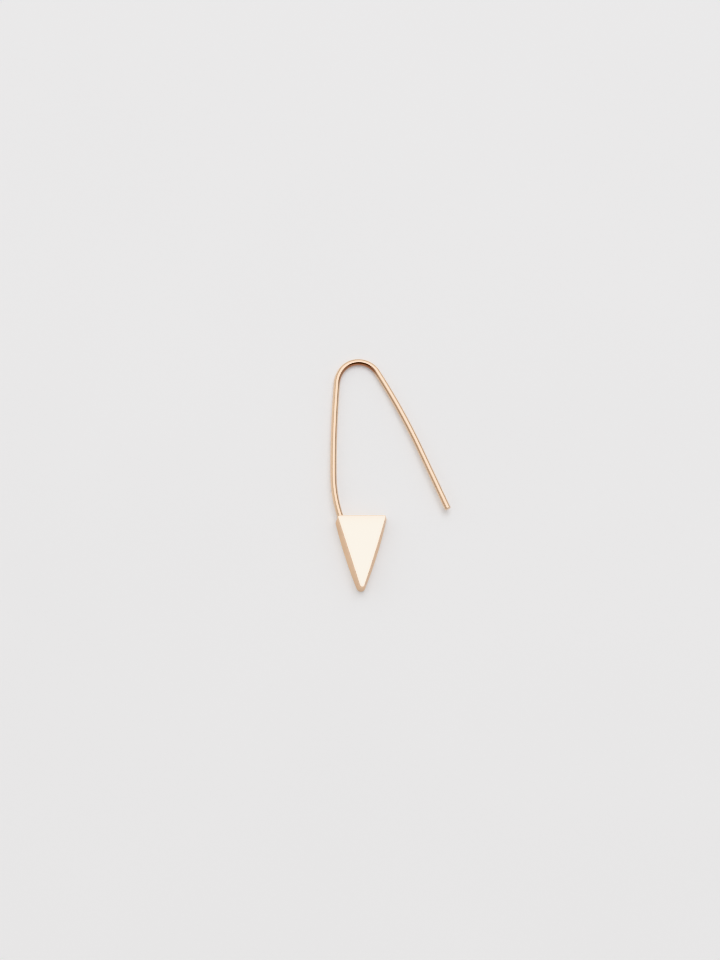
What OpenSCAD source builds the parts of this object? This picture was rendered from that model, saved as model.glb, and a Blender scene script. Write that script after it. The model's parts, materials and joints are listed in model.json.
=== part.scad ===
/* [Head plate] */
// Width of the back along its straight top edge, to the points where the edges would meet
plate_w = 7; // [6.6:0.1:7.4]
// Height of the back from the top edge to the point where the two slanted edges would meet
plate_h = 11.3; // [10.6:0.1:12]
// Sideways place of that point, from the middle of the top edge
tip_x = -0.35; // [-0.5:0.05:0]
// Thickness of the plate
plate_t = 2; // [1.6:0.1:2.4]
// Radius of the rounded lower tip
tip_r = 0.6; // [0.5:0.05:0.8]
// Radius of the two top corners
corner_r = 0.45; // [0.42:0.01:0.6]
// How far the two slanted walls spread from the face to the back
side_flare = 0.25; // [0.15:0.01:0.3]
// How far the top wall spreads from the face to the back
top_flare = 0.14; // [0.1:0.01:0.2]
// Radius of the polished edges of both faces
edge_r = 0.08; // [0.04:0.01:0.1]

/* [Wire] */
// Diameter of the round wire
wire_d = 0.8; // [0.65:0.05:0.85]
// Distance from the left end of the top edge to the middle of the wire
wire_inset = 0.75; // [0.7:0.05:0.9]
// Length of wire soldered into the plate
wire_embed = 0.8; // [0.5:0.1:1.2]
// Radius of the slow bend just above the plate
lower_bend_r = 18.5; // [14:0.5:22]
// Angle of the slow bend just above the plate
lower_bend_turn = 17.4; // [16:0.1:19]
// Radius of the faint bow of the fixed leg
fixed_leg_r = 150; // [110:5:200]
// Angle of the faint bow of the fixed leg
fixed_leg_turn = 4.8; // [4:0.1:6]
// Radius of the shoulder that leads into the top bend
shoulder_r = 3.8; // [3.4:0.1:4.6]
// Angle of the shoulder
shoulder_turn = 27; // [22:1:32]
// Radius of the top bend, which is the spring of the pin
spring_r = 2.8; // [2.4:0.1:3.4]
// Angle of the top bend
spring_turn = 116.2; // [112:0.2:120]
// Radius of the bow in the upper half of the free leg
free_bow_r = 85; // [60:5:120]
// Angle of that bow
free_bow_turn = 8; // [6:0.5:10]
// Length of the straight stretch down to the free end
free_straight = 8.7; // [6:0.1:11]
// Rounding of the free end's rim
end_round = 0.12; // [0.05:0.01:0.2]

/* [Catch] */
// Diameter of the blind hole that takes the free end when the pin is closed
catch_d = 0.95; // [0.9:0.05:1.1]
// Depth of that hole, measured from the top edge
catch_depth = 2; // [1.5:0.1:2.2]
// Distance of the hole from the middle of the top edge
catch_x = 1.8; // [1:0.1:1.9]

/* [Hidden] */
gold = "goldenrod";
round_fn = 48;
corner_steps = 8;
edge_steps = 4;
// Thickness of the slice that gives each outline its full width
waist = 0.01;
seam_length = 0.1;
seam_proud = 0.002;
wire_r = wire_d / 2;
mid_z = plate_t / 2;
// The slanted edges stand at these angles to the long axis, and the wire leaves the plate along the left one
left_angle = atan2(plate_w / 2 + tip_x, plate_h);
right_angle = atan2(plate_w / 2 - tip_x, plate_h);
// The slow bend starts this much earlier, inside the plate
embed_turn = wire_embed / lower_bend_r * 180 / PI;
// Runs of wire from inside the plate to the free end, each as [bend radius, clockwise turn, straight length]
RUNS = [
    [lower_bend_r, embed_turn + lower_bend_turn, 0],
    [fixed_leg_r, fixed_leg_turn, 0],
    [shoulder_r, shoulder_turn, 0],
    [spring_r, spring_turn, 0],
    [free_bow_r, free_bow_turn, 0],
    [0, 0, free_straight]
];
// Where the wire leaves the plate, as [x, y, heading clockwise from +Y]
wire_exit = [wire_inset - plate_w / 2, 0, -left_angle];

function bend_end(pose, r, turn) = [
    pose.x + r * (cos(pose.z) - cos(pose.z + turn)),
    pose.y + r * (sin(pose.z + turn) - sin(pose.z)),
    pose.z + turn
];

function straight_end(pose, length) = [
    pose.x + length * sin(pose.z),
    pose.y + length * cos(pose.z),
    pose.z
];

function run_end(pose, run) = run[1] == 0 ? straight_end(pose, run[2]) : bend_end(pose, run[0], run[1]);

// Place and heading at the start of run i
function run_start(i) =
    i == 0
    ? bend_end(wire_exit, lower_bend_r, -embed_turn)
    : run_end(run_start(i - 1), RUNS[i - 1]);

// Highest point of the wire's middle line, where the heading of the top bend reaches 90 degrees
spring_start = run_start(3);
crown_y = spring_start.y + spring_r * (1 - sin(spring_start.z));
// The wire's own plane falls from the middle of the plate to the surface under the crown
wire_tilt = asin((mid_z - wire_r) / crown_y);

// Places on the slanted edges at a depth below the top edge, after the edges have moved inwards by inset
function left_edge_x(depth, inset) = -plate_w / 2 + depth * tan(left_angle) + inset / cos(left_angle);
function right_edge_x(depth, inset) = plate_w / 2 - depth * tan(right_angle) - inset / cos(right_angle);

// Depth at which the two slanted edges meet after that move
function tip_depth(inset) =
    (right_edge_x(0, inset) - left_edge_x(0, inset)) / (tan(left_angle) + tan(right_angle));

// Corners of a triangle inside the back's outline, as [x, y, radius]
function corners(top_inset, inset) = [
    [left_edge_x(top_inset, inset), -top_inset, corner_r - inset],
    [right_edge_x(top_inset, inset), -top_inset, corner_r - inset],
    [left_edge_x(tip_depth(inset), inset), -tip_depth(inset), tip_r - inset]
];
BACK = corners(0, 0);
FACE = corners(top_flare, side_flare);

function unit(v) = v / norm(v);

function flat(corner) = [corner.x, corner.y];

// Ways from corner i of a triangle along the edges before and after it
function way_before(triangle, i) = unit(flat(triangle[(i + 2) % 3]) - flat(triangle[i]));
function way_after(triangle, i) = unit(flat(triangle[(i + 1) % 3]) - flat(triangle[i]));
function half_angle(triangle, i) = acos(way_before(triangle, i) * way_after(triangle, i)) / 2;

// Middle of the arc that rounds corner i
function corner_centre(triangle, i) =
    let(middle_way = unit(way_before(triangle, i) + way_after(triangle, i)))
    flat(triangle[i]) + middle_way * triangle[i].z / sin(half_angle(triangle, i));

// Points of that arc after the outline has moved inwards by inset
function rounded_corner(triangle, i, inset) =
    let(
        r = triangle[i].z,
        centre = corner_centre(triangle, i),
        foot = flat(triangle[i]) + way_before(triangle, i) * r / tan(half_angle(triangle, i)),
        first = (foot - centre) * (r - inset) / r,
        sweep = 180 - 2 * half_angle(triangle, i)
    )
    [for (k = [0:corner_steps])
        let(a = -sweep * k / corner_steps)
        centre + [first.x * cos(a) - first.y * sin(a), first.x * sin(a) + first.y * cos(a)]];

function outline(triangle, inset) = [for (i = [0:2]) each rounded_corner(triangle, i, inset)];

// Bounds of the finished pin in the plate's frame, used to centre it
free_end = run_start(len(RUNS));
left_x = min([for (a = [0:0.1:fixed_leg_turn]) bend_end(run_start(1), fixed_leg_r, a).x]) - wire_r;
right_x = free_end.x - end_round * sin(free_end.z) - (wire_r - end_round) * cos(free_end.z) + end_round;
low_y = corner_centre(BACK, 2).y - tip_r;
high_y = crown_y * cos(wire_tilt) + wire_r;
centre_x = (left_x + right_x) / 2;
centre_y = (low_y + high_y) / 2;

// A sleeve a hair wider than the wire closes the seam between two runs, so that they are one solid
module seam() {
    rotate([90, 0, 0])
        cylinder(h = seam_length, r = wire_r + seam_proud, center = true, $fn = round_fn);
}

module bend_run(r, turn) {
    translate([r, 0, 0])
        rotate([0, 0, 180 - turn])
            rotate_extrude(angle = turn, $fn = round_fn)
                translate([r, 0])
                    circle(r = wire_r, $fn = round_fn);
}

// The last run, turned on its own axis so that the rim of the cut end is rounded
module end_run(length) {
    rotate([-90, 0, 0])
        rotate_extrude($fn = round_fn)
            union() {
                square([wire_r - end_round, length]);
                square([wire_r, length - end_round]);
                intersection() {
                    translate([wire_r - end_round, length - end_round])
                        circle(r = end_round, $fn = round_fn);
                    square([wire_r, length]);
                }
            }
}

module ear_wire() {
    for (i = [0:len(RUNS) - 1]) {
        pose = run_start(i);
        run = RUNS[i];
        translate([pose.x, pose.y, 0])
            rotate([0, 0, -pose.z]) {
                if (i > 0) {
                    seam();
                }
                if (run[1] == 0) {
                    end_run(run[2]);
                } else {
                    bend_run(run[0], run[1]);
                }
            }
    }
}

// The outlines of the back and of the face, each rounded towards its flat side, with straight walls between them
module head_plate() {
    difference() {
        hull()
            for (k = [0:edge_steps])
                let(
                    around = 90 * k / edge_steps,
                    inset = edge_r * (1 - cos(around)),
                    rise = max(waist, edge_r * sin(around))
                ) {
                    translate([0, 0, edge_r - rise])
                        linear_extrude(height = rise)
                            polygon(outline(BACK, inset));
                    translate([0, 0, plate_t - edge_r])
                        linear_extrude(height = rise)
                            polygon(outline(FACE, inset));
                }
        translate([catch_x, 0, mid_z])
            rotate([90, 0, 0])
                cylinder(h = catch_depth, d = catch_d, $fn = round_fn);
    }
}

module safety_pin() {
    color(gold)
        translate([-centre_x, -centre_y, 0]) {
            head_plate();
            translate([0, 0, mid_z])
                rotate([-wire_tilt, 0, 0])
                    ear_wire();
        }
}

safety_pin();
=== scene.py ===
import json

import bmesh
import bpy
import numpy as np
from mathutils import Matrix, Vector


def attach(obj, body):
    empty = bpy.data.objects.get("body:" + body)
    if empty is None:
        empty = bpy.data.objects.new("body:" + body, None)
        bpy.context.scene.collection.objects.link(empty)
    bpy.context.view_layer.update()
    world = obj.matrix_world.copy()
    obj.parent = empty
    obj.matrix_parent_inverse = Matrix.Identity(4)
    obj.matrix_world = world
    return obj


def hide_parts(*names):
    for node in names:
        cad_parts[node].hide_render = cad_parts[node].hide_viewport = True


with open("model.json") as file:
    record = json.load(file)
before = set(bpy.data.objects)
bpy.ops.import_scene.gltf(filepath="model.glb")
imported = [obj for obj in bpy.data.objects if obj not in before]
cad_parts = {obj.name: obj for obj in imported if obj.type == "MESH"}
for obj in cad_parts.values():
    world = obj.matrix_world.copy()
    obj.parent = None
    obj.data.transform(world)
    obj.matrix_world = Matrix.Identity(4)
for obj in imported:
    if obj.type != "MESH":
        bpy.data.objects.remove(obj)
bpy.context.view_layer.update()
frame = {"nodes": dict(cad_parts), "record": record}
print("frame loaded, nodes:", ", ".join(sorted(frame["nodes"])))

# Lengths below are in millimetres unless a note says otherwise; the meshes are written in metres
mm = 0.001
mergeDistance = 0.0002      # points closer than this are twins
sharpAngle = 50             # degrees, past which an edge isn't shaded smooth


def gridFaces(rows, columns):
    # Quads between neighbouring rows and columns of a grid that is stored row by row, the last column joined
    # to the first
    row, column = np.meshgrid(np.arange(rows - 1), np.arange(columns), indexing="ij")
    following = (column + 1) % columns
    quads = np.stack([row * columns + column,
                      row * columns + following,
                      (row + 1) * columns + following,
                      (row + 1) * columns + column], axis=-1)
    return quads.reshape(-1, 4), row.ravel(), column.ravel()


def makePiece(name, points, quads, material, marks, uv=None):
    # One closed mesh from points in millimetres: twins along seams, rims and poles are merged, faces point
    # outwards. The marks are one number per point each, which the material reads by their name
    mesh = bpy.data.meshes.new(name)
    mesh.from_pydata(points * mm, [], quads.tolist())
    for mark, values in marks.items():
        attribute = mesh.attributes.new(mark, "FLOAT", "POINT")
        attribute.data.foreach_set("value", values.astype(np.float32))
    if uv is not None:
        layer = mesh.uv_layers.new(name="alongAndAround")
        layer.data.foreach_set("uv", uv.astype(np.float32).ravel())
    work = bmesh.new()
    work.from_mesh(mesh)
    bmesh.ops.remove_doubles(work, verts=work.verts, dist=mergeDistance * mm)
    bmesh.ops.recalc_face_normals(work, faces=work.faces)
    work.to_mesh(mesh)
    work.free()
    mesh.shade_smooth()
    mesh.set_sharp_from_angle(angle=np.radians(sharpAngle))
    piece = bpy.data.objects.new(name, mesh)
    bpy.context.scene.collection.objects.link(piece)
    mesh.materials.append(material)
    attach(piece, "root")
    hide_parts("safety_pin")
    print(name, "made:", len(mesh.polygons), "faces")


# Materials

goldLook = {
    "toneSize": 2.2,            # size of the drifts between the two tones
    "toneDetail": 3.0,
    "roughLow": 0.05,
    "roughHigh": 0.10,
    "hairWidth": 0.022,         # width of the polishing hairlines
    "hairLength": 1.6,
    "hairDepth": 0.00006,
    "hairDetail": 2.0,
    "hairSpan": (0.3, 0.75),    # noise values that give the low and the high roughness
    "waveSize": 1.9,            # size of the slow waves that hand polishing leaves
    "waveDepth": 0.0009,
    "waveDetail": 1.0,
    "wearSize": 0.35,           # size of the patches in which the edges are rubbed
    "wearDetail": 2.0,
    "wearSpan": (0.35, 0.65),   # noise values at which such a patch begins and is full
    "wearRough": 0.22,          # roughness there
    "paintedSheenShare": 0.94,        # how far the painted sheen hides the drifts of tone
    "bendShare": 0.85,          # how far the painted shade inside the bends does
}
goldTones = {
    "pale": (0.92, 0.71, 0.535),    # fresh polish
    "deep": (0.88, 0.65, 0.465),    # where the polish is a shade warmer
    "paintedSheen": (0.84, 0.78, 0.68),   # painted sheen: the two flat faces are made paler to stand in for their bright reflection of the softbox
    "bend": (0.41, 0.17, 0.10),     # painted shade and dark reflection on the inner side of the tight bends
    "rubbed": (0.95, 0.80, 0.66),   # where handling has rubbed it
    "edge": (0.93, 0.81, 0.70),     # what the metal reflects at a glancing angle
}


def goldMaterial(name, coordinates, hairScale):
    # Mirror-polished gold. Slow waves bend the reflections, fine hairlines break them up and change the
    # roughness, and the tone drifts a little from place to place. Two marks lay painted light over that: a
    # painted sheen that makes the flat faces paler, standing in for their bright reflection of the softbox,
    # and painted shade and dark reflection on the inner side of the bends. "wear" says where the edges are
    # rubbed paler and duller in patches
    look, tones = goldLook, goldTones
    material = bpy.data.materials.new(name)
    material.use_nodes = True
    nodes = material.node_tree.nodes
    link = material.node_tree.links.new
    shader = nodes["Principled BSDF"]
    shader.inputs["Metallic"].default_value = 1.0
    shader.inputs["Specular Tint"].default_value = (*tones["edge"], 1.0)
    place = nodes.new("ShaderNodeTexCoord")

    def noise(size, detail):
        cloud = nodes.new("ShaderNodeTexNoise")
        cloud.inputs["Scale"].default_value = 1 / (size * mm)
        cloud.inputs["Detail"].default_value = detail
        link(place.outputs["Object"], cloud.inputs["Vector"])
        return cloud.outputs["Fac"]

    def readMark(mark):
        node = nodes.new("ShaderNodeAttribute")
        node.attribute_name = mark
        return node.outputs["Fac"]

    def remap(value, fromMin, fromMax, toMin, toMax):
        node = nodes.new("ShaderNodeMapRange")
        node.inputs["From Min"].default_value = fromMin
        node.inputs["From Max"].default_value = fromMax
        node.inputs["To Min"].default_value = toMin
        node.inputs["To Max"].default_value = toMax
        link(value, node.inputs["Value"])
        return node.outputs["Result"]

    def layTone(under, tone, factor):
        node = nodes.new("ShaderNodeMix")
        node.data_type = "RGBA"
        node.inputs["B"].default_value = (*tone, 1.0)
        link(under, node.inputs["A"])
        link(factor, node.inputs["Factor"])
        return node.outputs["Result"]

    def bump(height, depth, normal=None):
        node = nodes.new("ShaderNodeBump")
        node.inputs["Distance"].default_value = depth * mm
        link(height, node.inputs["Height"])
        if normal is not None:
            link(normal, node.inputs["Normal"])
        return node.outputs["Normal"]

    rubbed = nodes.new("ShaderNodeMath")
    rubbed.operation = "MULTIPLY"
    link(readMark("wear"), rubbed.inputs[0])
    wearNoise = noise(look["wearSize"], look["wearDetail"])
    link(remap(wearNoise, *look["wearSpan"], 0.0, 1.0), rubbed.inputs[1])

    drift = nodes.new("ShaderNodeMix")
    drift.data_type = "RGBA"
    drift.inputs["A"].default_value = (*tones["deep"], 1.0)
    drift.inputs["B"].default_value = (*tones["pale"], 1.0)
    link(noise(look["toneSize"], look["toneDetail"]), drift.inputs["Factor"])
    colour = drift.outputs["Result"]
    # Painted sheen on the flat faces and painted shade inside the bends are laid over the drifting tone
    for mark in ("paintedSheen", "bend"):
        factor = remap(readMark(mark), 0.0, 1.0, 0.0, look[mark + "Share"])
        colour = layTone(colour, tones[mark], factor)
    colour = layTone(colour, tones["rubbed"], rubbed.outputs["Value"])
    link(colour, shader.inputs["Base Color"])

    stretch = nodes.new("ShaderNodeMapping")
    stretch.inputs["Scale"].default_value = hairScale
    link(place.outputs[coordinates], stretch.inputs["Vector"])
    hairs = nodes.new("ShaderNodeTexNoise")
    hairs.inputs["Scale"].default_value = 1.0
    hairs.inputs["Detail"].default_value = look["hairDetail"]
    link(stretch.outputs["Vector"], hairs.inputs["Vector"])
    hairRough = remap(hairs.outputs["Fac"], *look["hairSpan"], look["roughLow"], look["roughHigh"])
    roughness = nodes.new("ShaderNodeMix")
    roughness.inputs["B"].default_value = look["wearRough"]
    link(rubbed.outputs["Value"], roughness.inputs["Factor"])
    link(hairRough, roughness.inputs["A"])
    link(roughness.outputs["Result"], shader.inputs["Roughness"])

    waves = bump(noise(look["waveSize"], look["waveDetail"]), look["waveDepth"])
    link(bump(hairs.outputs["Fac"], look["hairDepth"], waves), shader.inputs["Normal"])
    return material


hairsAcross = 1 / goldLook["hairWidth"]
hairsAlong = 1 / goldLook["hairLength"]
# The wire's map runs in millimetres along and around it; the plate reads its place in metres
wireGold = goldMaterial("drawnWireGold", "UV", (hairsAlong, hairsAcross, 1.0))
plateGold = goldMaterial("polishedPlateGold", "Object", (hairsAcross / mm, hairsAlong / mm, hairsAcross / mm))
print("gold made")


# Head plate: an upside-down triangle with a straight upper edge

plate = {
    "width": 7.0,                   # of the back's straight edge, to the points where the edges would meet
    "height": 11.3,                 # from it to the point where the slanted edges would meet
    "tipX": -0.35,                  # sideways place of that point, from the middle of the straight edge
    "thickness": 2.0,
    "backRadii": (0.2, 0.6, 0.7),   # of the right corner, the tip and the left corner
    "faceRadii": (0.2, 0.35, 0.2),
    "rightFlare": 0.28,             # how far the right wall spreads from the face to the back
    "leftFlare": 0.2,
    "topFlare": 0.14,
    "backBows": (0.18, 0.16),       # how far the right and the left edge bow out
    "faceBows": (0.06, 0.0),
    "edgeRadius": 0.11,             # of the polished edges of both faces
    "tipEdgeShare": 0.4,            # what is left of it round the tip
    "faceRoll": 0.012,              # how far polishing lowers the face towards its rim
    "faceRollPower": 5,
    "catchX": 1.8,                  # place of the catch hole, from the middle of the straight edge
    "catchRadius": 0.475,
    "catchDepth": 2.0,
    "catchRim": 0.05,               # rounding of its rim
    "arcSteps": 12,
    "topSteps": (30, 3),            # grid steps on the straight edge before and after the catch hole
    "sideSteps": 90,
    "wallRows": 16,
    "edgeRows": 7,
    "faceRows": 22,
    "rowCrowding": 0.6,             # power below 1 that crowds the rows of a face towards its rim
    "patchRings": 9,                # round the catch hole, from the square patch to its rim
    "rimRings": 5,
    "boreRings": 13,
    "floorRings": 5,
    "wearReach": 0.12,              # how far the rubbed edges fade into the faces and walls
    "paintedSheenFadePower": 2,           # how soon the painted sheen ends on the rounded edges
    "warmShare": 0.4,               # how much of that painted sheen fades beside the straight edge
    "warmReach": 0.5,
}
# The slanted edges stand at these angles to the pin's long axis
leftAngle = np.arctan2(plate["width"] / 2 + plate["tipX"], plate["height"])
rightAngle = np.arctan2(plate["width"] / 2 - plate["tipX"], plate["height"])
faceTop = plate["thickness"] - plate["faceRoll"]
wallHeight = faceTop - 2 * plate["edgeRadius"]      # between the middles of the two rounded edges
topLean = np.arctan2(plate["topFlare"], wallHeight)
catchMiddle = plate["edgeRadius"] * (1 + np.sin(topLean)) + wallHeight / 2
plateBack = next(mount for mount in frame["record"]["mounts"] if mount["name"] == "plate_back")
# The mount is the middle of the triangle, and the middle of the straight edge lies a third of the height
# above it
toEdgeMiddle = [-plate["tipX"] / 3, plate["height"] / 3, 0.0]
edgeMiddle = np.array(plateBack["pos_m"]) / mm + toEdgeMiddle


def plateOutline(topInset, rightInset, leftInset, radii, bows):
    # Clockwise round the outline as its outward normal turns from +Y by a full circle: edges moved inwards by
    # the insets, the slanted ones bowed out by bow * 4 * share * (1 - share), and at each corner an arc whose
    # centre lies inwards of the corner by radius * (sum of the normals) / (1 + their product)
    normalAngles = np.array([np.pi / 2, -rightAngle, leftAngle - np.pi, -1.5 * np.pi])
    normals = np.column_stack([np.cos(normalAngles), np.sin(normalAngles)])
    leftX = leftInset / np.cos(leftAngle) - plate["width"] / 2
    rightX = plate["width"] / 2 - rightInset / np.cos(rightAngle)
    tipDepth = (rightX - leftX) / (np.tan(leftAngle) + np.tan(rightAngle))
    corners = np.array([[rightX - topInset * np.tan(rightAngle), -topInset],
                        [leftX + tipDepth * np.tan(leftAngle), -tipDepth],
                        [leftX + topInset * np.tan(leftAngle), -topInset]])
    radii = np.array(radii)
    before, after = normals[:-1], normals[1:]
    meet = 1 + np.sum(before * after, axis=1)
    centres = corners - radii[:, None] * (before + after) / meet[:, None]
    arcStarts = centres + radii[:, None] * before
    arcEnds = centres + radii[:, None] * after
    points, directions, inWindow = [], [], []

    def addEdge(start, end, normal, steps, bow=0.0, window=False):
        share = np.arange(steps)[:, None] / steps
        points.append(start + (end - start) * share + bow * 4 * share * (1 - share) * normal)
        directions.append(np.repeat(normal[None], steps, axis=0))
        inWindow.append(np.full(steps, window))

    # The window is the square patch of the top wall that the catch hole fills
    windowLeft = np.array([plate["catchX"] - wallHeight / 2, -topInset])
    windowRight = np.array([plate["catchX"] + wallHeight / 2, -topInset])
    addEdge(arcEnds[2], windowLeft, normals[0], plate["topSteps"][0])
    addEdge(windowLeft, windowRight, normals[0], plate["wallRows"], window=True)
    addEdge(windowRight, arcStarts[0], normals[0], plate["topSteps"][1])
    for corner in range(3):
        turns = np.linspace(normalAngles[corner], normalAngles[corner + 1], plate["arcSteps"] + 1)[:-1]
        arc = np.column_stack([np.cos(turns), np.sin(turns)])
        points.append(centres[corner] + radii[corner] * arc)
        directions.append(arc)
        inWindow.append(np.full(len(turns), False))
        if corner < 2:
            addEdge(arcEnds[corner], arcStarts[corner + 1], after[corner], plate["sideSteps"], bows[corner])
    return np.concatenate(points), np.concatenate(directions), np.concatenate(inWindow)


def plateBody():
    # Rows of points from the middle of the back, over its rounded edge, up the leaning wall and over the
    # second edge to the middle of the face. On an edge, point = outline - radius * (1 - cos) * normal and
    # height = radius * sin, from straight down to the wall's lean and on to straight up
    back, normals, inWindow = plateOutline(0.0, 0.0, 0.0, plate["backRadii"], plate["backBows"])
    face, _, _ = plateOutline(plate["topFlare"], plate["rightFlare"], plate["leftFlare"],
                              plate["faceRadii"], plate["faceBows"])
    middle = np.array([plate["tipX"] / 3, -plate["height"] / 3])
    roll, down, up = plate["faceRoll"], -np.pi / 2, np.pi / 2
    # The slanted edges face downwards by the sine of their angle, and only the tip's arc faces further down
    sideways = np.sin(rightAngle)
    atTip = np.clip((-normals[:, 1] - sideways) / (1 - sideways), 0, 1)
    radius = plate["edgeRadius"] * (1 - (1 - plate["tipEdgeShare"]) * atTip)
    lean = np.arctan2(np.sum((back - face) * normals, axis=1), wallHeight)

    def flatRows(outline, share, height):
        flat = middle + share[:, None, None] * (outline - radius[:, None] * normals - middle)
        heights = np.broadcast_to(height[:, None, None], flat.shape[:2] + (1,))
        return np.concatenate([flat, heights], axis=-1)

    def edgeRows(outline, start, end, height):
        share = np.linspace(0, 1, plate["edgeRows"] + 1)[1:, None]
        angle = start + (end - start) * share
        flat = outline - (radius * (1 - np.cos(angle)))[..., None] * normals
        return np.concatenate([flat, (height + radius * np.sin(angle))[..., None]], axis=-1)

    out = np.linspace(0, 1, plate["faceRows"]) ** plate["rowCrowding"]
    backFlat = flatRows(back, out, np.zeros_like(out))
    backEdge = edgeRows(back, down, lean, radius)
    faceEdge = edgeRows(face, lean, up, faceTop - radius)
    wallFoot = backEdge[-1]
    wallHead = np.column_stack([face - (radius * (1 - np.cos(lean)))[:, None] * normals,
                                faceTop - radius + radius * np.sin(lean)])
    share = np.linspace(0, 1, plate["wallRows"] + 1)[1:, None, None]
    wall = wallFoot + share * (wallHead - wallFoot)
    faceFlat = flatRows(face, out, faceTop + roll * (1 - out ** plate["faceRollPower"]))[::-1][1:]
    grid = np.concatenate([backFlat, backEdge, wall, faceEdge, faceFlat])

    # Wear is full on the rounded edges and falls off as exp(-distance / reach)
    reach = plate["wearReach"]
    fade = np.exp((out - 1) * plate["width"] / 2 / reach)
    wallFade = np.exp(-np.minimum(share, 1 - share).ravel() * wallHeight / reach)
    rounded = np.ones(plate["edgeRows"])
    wear = np.concatenate([fade, rounded, wallFade, rounded, fade[::-1][1:]])
    # A painted sheen, standing in for the bright reflection of the softbox, covers both flat faces and fades
    # beside the straight edge by exp(y / reach), which leaves the face warmer there
    onEdge = np.linspace(1, 0, plate["edgeRows"] + 1)[1:] ** plate["paintedSheenFadePower"]
    plain = np.zeros(plate["wallRows"])
    paintedSheen = np.concatenate([np.ones_like(out), onEdge, plain, onEdge[::-1], np.ones(len(out) - 1)])
    warm = plate["warmShare"] * np.exp(grid[..., 1] / plate["warmReach"])
    paintedSheen = paintedSheen[:, None] * (1 - warm)

    quads, row, column = gridFaces(len(grid), len(back))
    firstWallRow = len(backFlat) + len(backEdge) - 1
    isWall = (row >= firstWallRow) & (row < firstWallRow + plate["wallRows"])
    keep = ~(isWall & inWindow[column])
    return grid.reshape(-1, 3), quads[keep], np.repeat(wear, len(back)), paintedSheen.ravel()


def catchHole():
    # Rings of two parameters, angle round the hole and place along its section. From the square patch in the
    # wall inwards: (1 - share) * square + share * circle, then a quarter-round rim, the bore and its flat
    # floor. The rings lean with the wall at the patch and stand upright at the floor
    side = plate["wallRows"]
    ramp = np.linspace(-1, 1, side + 1)[:-1]
    one = np.ones(side)
    square = wallHeight / 2 * np.column_stack([np.concatenate([ramp, one, -ramp, -one]),
                                               np.concatenate([-one, ramp, one, -ramp])])
    circle = square / np.linalg.norm(square, axis=1)[:, None]
    radius, rim, depth = plate["catchRadius"], plate["catchRim"], plate["catchDepth"]
    shares = np.linspace(0, 1, plate["patchRings"])[:, None, None]
    patch = (1 - shares) * square + shares * (radius + rim) * circle
    quarter = np.linspace(0, np.pi / 2, plate["rimRings"] + 1)[1:]
    boreDepths = np.linspace(rim, depth, plate["boreRings"] + 1)[1:]
    floorRadii = np.linspace(radius, 0, plate["floorRings"] + 1)[1:]
    ringRadii = np.concatenate([radius + rim * (1 - np.sin(quarter)),
                                np.full(plate["boreRings"], radius),
                                floorRadii])
    depths = np.concatenate([np.zeros(plate["patchRings"]),
                             rim * (1 - np.cos(quarter)),
                             boreDepths,
                             np.full(plate["floorRings"], depth)])[:, None]
    rings = np.concatenate([patch, ringRadii[:, None, None] * circle])
    upTheWall = rings[..., 1] / wallHeight + 0.5
    wallInset = plate["edgeRadius"] * (1 - np.cos(topLean)) + plate["topFlare"] * upTheWall
    grid = np.stack([plate["catchX"] + rings[..., 0],
                     -wallInset * (1 - depths / depth) - depths,
                     catchMiddle + rings[..., 1]], axis=-1)
    beyondBore = np.maximum(rings[..., 0] ** 2 + rings[..., 1] ** 2 - radius ** 2, 0)
    fromRim = np.abs(depths - rim) + beyondBore
    quads, _, _ = gridFaces(len(rings), 4 * side)
    return grid.reshape(-1, 3), quads, np.exp(-fromRim / plate["wearReach"]).ravel()


bodyPoints, bodyQuads, bodyWear, bodyPaintedSheen = plateBody()
holePoints, holeQuads, holeWear = catchHole()
platePoints = np.concatenate([bodyPoints, holePoints]) + edgeMiddle
plateQuads = np.concatenate([bodyQuads, holeQuads + len(bodyPoints)])
# The painted sheen of the flat faces, which the catch hole doesn't get
plateMarks = {"wear": np.concatenate([bodyWear, holeWear]),
              "paintedSheen": np.concatenate([bodyPaintedSheen, np.zeros(len(holePoints))])}
makePiece("head_plate", platePoints, plateQuads, plateGold, plateMarks)


# Ear wire: one round wire from inside the plate to the blunt free end

wire = {
    "radius": 0.4,
    "inset": 0.75,          # from the left end of the plate's straight edge to the wire's middle
    "embed": 0.8,           # length soldered into the plate
    "runs": [               # bend radius (0 for straight), clockwise turn in degrees, straight length
        (18.5, 17.4, 0),    # slow bend above the plate
        (150, 4.8, 0),      # fixed leg
        (3.8, 27, 0),       # shoulder
        (2.8, 116.2, 0),    # top bend
        (85, 8, 0),         # bow of the free leg
        (0, 0, 8.7),        # straight stretch to the free end
    ],
    "endRound": 0.12,       # rounding of the free end's rim
    "ringStep": 0.1,
    "sides": 48,
    "rimRings": 7,          # on the free end's rim
    "capRings": 5,          # from the middle of each end to its rim
    "wearReach": 0.3,       # how far the rubbed rim of the free end fades
    "tightRadius": 2.8,     # bends of this radius get the full painted shade on their inner side
    "bendReach": 1.2,       # how far that painted shade fades along the wire
    "bendSpread": 1.5,      # how soon it is full on the way to the innermost line
}


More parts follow.
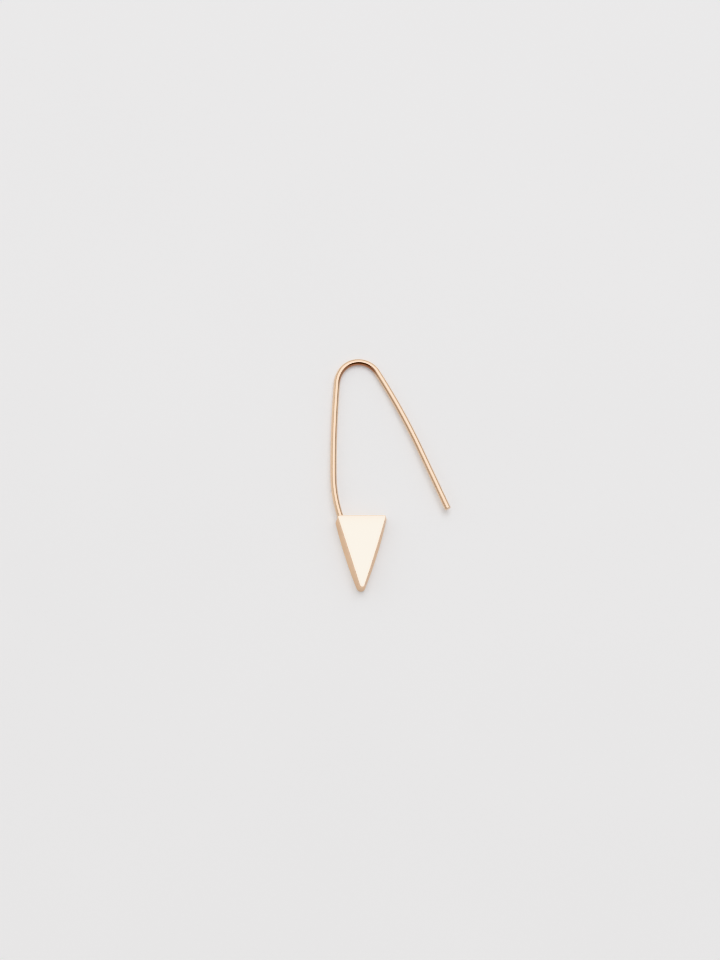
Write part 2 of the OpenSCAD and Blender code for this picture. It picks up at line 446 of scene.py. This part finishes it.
def wireMiddleLine():
    # The heading, clockwise from +Y, grows evenly along each bend, so it is a broken line over the length;
    # the place is the running sum of chords, step * sin(half turn) / half turn, along the mean heading of
    # each step
    bendRadius, turn, straight = np.array(wire["runs"], dtype=float).T
    embedTurn = wire["embed"] / bendRadius[0]
    turn = np.radians(turn)
    turn[0] += embedTurn
    knots = np.concatenate([[0], np.cumsum(bendRadius * turn + straight)])
    headings = -leftAngle - embedTurn + np.concatenate([[0], np.cumsum(turn)])
    evenLengths = np.linspace(0, knots[-1], int(knots[-1] / wire["ringStep"]))
    length = np.union1d(evenLengths, [*knots, wire["embed"]])
    heading = np.interp(length, knots, headings)
    step, halfTurn = np.diff(length), np.diff(heading) / 2
    chord = step * np.sinc(halfTurn / np.pi)
    way = heading[:-1] + halfTurn
    moves = chord[:, None] * np.column_stack([np.sin(way), np.cos(way)])
    place = np.concatenate([[[0, 0]], np.cumsum(moves, axis=0)])
    atExit = place[np.argmin(np.abs(length - wire["embed"]))]
    exitPoint = np.array([wire["inset"] - plate["width"] / 2, 0.0])
    return length, place - atExit + exitPoint, heading


def wireSurface():
    # A circle carried along the middle line, point = middle + radius * (cos * side way + sin * up), closed at
    # both ends by shrinking rings, with a quarter-round rim at the free end. The whole is then tilted about
    # the plate's edge, z' = z cos - y sin, until the underside of the top bend meets the ground
    length, place, heading = wireMiddleLine()
    radius, rim = wire["radius"], wire["endRound"]
    quarter = np.linspace(0, np.pi / 2, wire["rimRings"])
    grow = np.linspace(0, 1, wire["capRings"])
    shrink = np.linspace(1, 0, wire["capRings"])[1:]
    last = length[-1]
    plain = length[(length > 0) & (length < last - rim)]
    along = np.concatenate([np.zeros(len(grow)), plain, last - rim + rim * np.sin(quarter),
                            np.full(len(shrink), last)])
    ringRadius = np.concatenate([radius * grow, np.full_like(plain, radius),
                                 radius - rim + rim * np.cos(quarter), (radius - rim) * shrink])
    middle = np.column_stack([np.interp(along, length, place[:, 0]), np.interp(along, length, place[:, 1])])
    way = np.interp(along, length, heading)
    angle = np.arange(wire["sides"]) / wire["sides"] * 2 * np.pi
    sideways = np.column_stack([np.cos(way), -np.sin(way)])
    spread = ringRadius[:, None] * np.cos(angle)
    flat = middle[:, None] + spread[..., None] * sideways[:, None]
    rise = ringRadius[:, None] * np.sin(angle)
    midHeight = plate["thickness"] / 2
    crownY = place[:, 1].max()
    tilt = np.arcsin((midHeight - radius) / crownY)
    tilted = np.stack([flat[..., 0],
                       flat[..., 1] * np.cos(tilt) + rise * np.sin(tilt),
                       midHeight + rise * np.cos(tilt) - flat[..., 1] * np.sin(tilt)], axis=-1)

    # Painted shade on a bend's inner side: the middle line's curvature, smoothed along the wire, times the
    # cosine of the angle round it; both are cut off at 1, so the painted shade is full before the innermost
    # line
    samples = np.arange(0, last, wire["ringStep"])
    curvature = np.gradient(np.interp(samples, length, heading), samples)
    window = np.hanning(2 * int(wire["bendReach"] / wire["ringStep"]) + 1)
    padded = np.pad(curvature, len(window) // 2, mode="edge")
    smooth = np.convolve(padded, window / window.sum(), mode="valid")
    tight = np.clip(wire["tightRadius"] * np.interp(along, samples, smooth), 0, 1)
    inner = np.clip(np.cos(angle) * wire["bendSpread"], 0, 1)
    wear = np.repeat(np.exp((along - last) / wire["wearReach"]), wire["sides"])
    # Wear on the free end's rim, and the painted shade inside the bends
    marks = {"wear": wear, "bend": (tight[:, None] * inner).ravel()}

    quads, row, column = gridFaces(len(along), wire["sides"])
    around = np.stack([column, column + 1, column + 1, column], axis=-1) / wire["sides"] * 2 * np.pi * radius
    lengthwise = along[np.stack([row, row, row + 1, row + 1], axis=-1)]
    uv = np.stack([lengthwise, around], axis=-1)
    return tilted.reshape(-1, 3) + edgeMiddle, quads, marks, uv.reshape(-1, 2)


wirePoints, wireQuads, wireMarks, wireMap = wireSurface()
makePiece("ear_wire", wirePoints, wireQuads, wireGold, wireMarks, wireMap)


# Floor, light and camera

floorLook = {
    "size": 4.0,            # metres
    "drop": 0.00001,        # metres below the object, so that the two surfaces don't share a plane
    "tone": (0.811, 0.823, 0.843),
    "toneDrift": 0.016,
    "driftScale": 30.0,     # clouds of the drift in a metre
    "glow": 0.245,          # light from the opal sheet itself, which keeps the shadows pale
    "roughness": 0.6,
    "specular": 0.2,
}


def makeFloor():
    # A pale opal sheet, whose tone drifts a little in large clouds
    look = floorLook
    half, depth = look["size"] / 2, -look["drop"]
    mesh = bpy.data.meshes.new("floor")
    corners = [(-half, -half, depth), (half, -half, depth), (half, half, depth), (-half, half, depth)]
    mesh.from_pydata(corners, [], [(0, 1, 2, 3)])
    floor = bpy.data.objects.new("floor", mesh)
    bpy.context.scene.collection.objects.link(floor)
    material = bpy.data.materials.new("paleFloor")
    material.use_nodes = True
    nodes = material.node_tree.nodes
    link = material.node_tree.links.new
    shader = nodes["Principled BSDF"]
    shader.inputs["Roughness"].default_value = look["roughness"]
    shader.inputs["Specular IOR Level"].default_value = look["specular"]
    shader.inputs["Emission Color"].default_value = (1.0, 1.0, 1.0, 1.0)
    shader.inputs["Emission Strength"].default_value = look["glow"]
    place = nodes.new("ShaderNodeTexCoord")
    cloud = nodes.new("ShaderNodeTexNoise")
    cloud.inputs["Scale"].default_value = look["driftScale"]
    link(place.outputs["Object"], cloud.inputs["Vector"])
    tone = nodes.new("ShaderNodeMix")
    tone.data_type = "RGBA"
    for socket, drift in (("A", -look["toneDrift"]), ("B", look["toneDrift"])):
        tone.inputs[socket].default_value = (*[channel + drift for channel in look["tone"]], 1.0)
    link(cloud.outputs["Fac"], tone.inputs["Factor"])
    link(tone.outputs["Result"], shader.inputs["Base Color"])
    mesh.materials.append(material)


studio = {
    "softboxAt": (0.08, 0.45, 1.06),        # metres, above the object and beyond it
    "softboxSize": (0.935, 0.86),           # metres
    "softboxPower": 5.35,                   # watts
    "softboxTone": (0.98, 1.0, 1.035),      # a little cooler than the room
    "roomTone": (0.565, 0.54, 0.51),        # light from all round
    # Direction of a patch, its product with a ray's direction where the patch begins and where it is full,
    # tone
    "roomPatches": [
        ((-1.0, 0.1, 0.1), 0.5, 0.9, (0.78, 0.75, 0.71)),
        ((1.0, 0.1, 0.1), 0.5, 0.9, (0.47, 0.45, 0.425)),
        ((0.0, 1.0, 0.3), 0.5, 0.95, (0.69, 0.66, 0.62)),
        ((-0.85, -0.5, -0.1), 0.68, 0.95, (0.22, 0.17, 0.13)),
        ((0.10, -0.55, 0.84), 0.80, 0.89, (0.05, 0.025, 0.018)),
    ],
    "backdropTone": (0.95, 0.95, 0.95),     # what the camera sees past the floor
    "exposure": 0.0,
}


def makeStudio():
    # One large softbox overhead and a room whose tone depends on the direction alone: each patch is laid over
    # the ones before it, fading in smoothly towards its middle, and the darkest lies high on the near side.
    # What the camera sees past the floor is one even tone
    look = studio
    light = bpy.data.lights.new("softbox", "AREA")
    light.shape = "RECTANGLE"
    light.size, light.size_y = look["softboxSize"]
    light.energy = look["softboxPower"]
    light.color = look["softboxTone"]
    softbox = bpy.data.objects.new("softbox", light)
    softbox.location = look["softboxAt"]
    softbox.rotation_euler = (-softbox.location).to_track_quat("-Z", "Y").to_euler()
    bpy.context.scene.collection.objects.link(softbox)

    world = bpy.data.worlds.new("room")
    bpy.context.scene.world = world
    world.use_nodes = True
    nodes = world.node_tree.nodes
    link = world.node_tree.links.new
    nodes.clear()
    direction = nodes.new("ShaderNodeTexCoord")

    def mix(factor, tone, under=None):
        node = nodes.new("ShaderNodeMix")
        node.data_type = "RGBA"
        node.inputs["B"].default_value = (*tone, 1.0)
        node.inputs["A"].default_value = (*look["roomTone"], 1.0)
        link(factor, node.inputs["Factor"])
        if under is not None:
            link(under, node.inputs["A"])
        return node.outputs["Result"]

    tone = None
    for towards, begins, full, patchTone in look["roomPatches"]:
        facing = nodes.new("ShaderNodeVectorMath")
        facing.operation = "DOT_PRODUCT"
        facing.inputs[1].default_value = Vector(towards).normalized()
        link(direction.outputs["Generated"], facing.inputs[0])
        share = nodes.new("ShaderNodeMapRange")
        share.interpolation_type = "SMOOTHSTEP"
        share.inputs["From Min"].default_value = begins
        share.inputs["From Max"].default_value = full
        link(facing.outputs["Value"], share.inputs["Value"])
        tone = mix(share.outputs["Result"], patchTone, tone)
    rays = nodes.new("ShaderNodeLightPath")
    seen = mix(rays.outputs["Is Camera Ray"], look["backdropTone"], tone)
    background = nodes.new("ShaderNodeBackground")
    link(seen, background.inputs["Color"])
    output = nodes.new("ShaderNodeOutputWorld")
    link(background.outputs["Background"], output.inputs["Surface"])

    settings = bpy.context.scene.view_settings
    settings.view_transform = "Khronos PBR Neutral"
    settings.exposure = look["exposure"]


photoView = {
    "pictureSize": (720, 960),
    "edgeMiddleAt": (362.24, 514.08),       # place in the picture of the middle of the plate's upper edge
    "distance": 0.5967,                     # metres from the camera to that point, along the view
    "metresPerPixel": 0.00012929,
    "towardsCamera": (-0.1244, -0.2629, 0.9568),
    "roll": -0.2,                           # degrees
    "sensor": 36.0,                         # along the picture's long side
    "clip": (0.05, 10.0),                   # metres
}


def makeCamera():
    # The camera stands back from the middle of the plate's upper front edge, so that this point falls on its
    # place in the picture at the given distance and scale
    look = photoView
    towards = Vector(look["towardsCamera"]).normalized()
    up = Vector((0.0, towards.z, -towards.y)).normalized()
    roll = Matrix.Rotation(np.radians(look["roll"]), 3, "Z")
    turn = Matrix((up.cross(towards), up, towards)).transposed() @ roll
    width, height = look["pictureSize"]
    focalPixels = look["distance"] / look["metresPerPixel"]
    across = (look["edgeMiddleAt"][0] - width / 2) / focalPixels
    down = (look["edgeMiddleAt"][1] - height / 2) / focalPixels
    corner = Vector(edgeMiddle * mm) + Vector((0, 0, plate["thickness"] * mm))
    data = bpy.data.cameras.new("photoCamera")
    data.sensor_width = look["sensor"]
    data.lens = focalPixels * look["sensor"] / height
    data.clip_start, data.clip_end = look["clip"]
    camera = bpy.data.objects.new("photoCamera", data)
    camera.location = corner - turn @ Vector((across, -down, -1.0)) * look["distance"]
    camera.rotation_euler = turn.to_euler()
    bpy.context.scene.collection.objects.link(camera)
    bpy.context.scene.camera = camera


makeFloor()
makeStudio()
makeCamera()
print("floor, light and camera made")
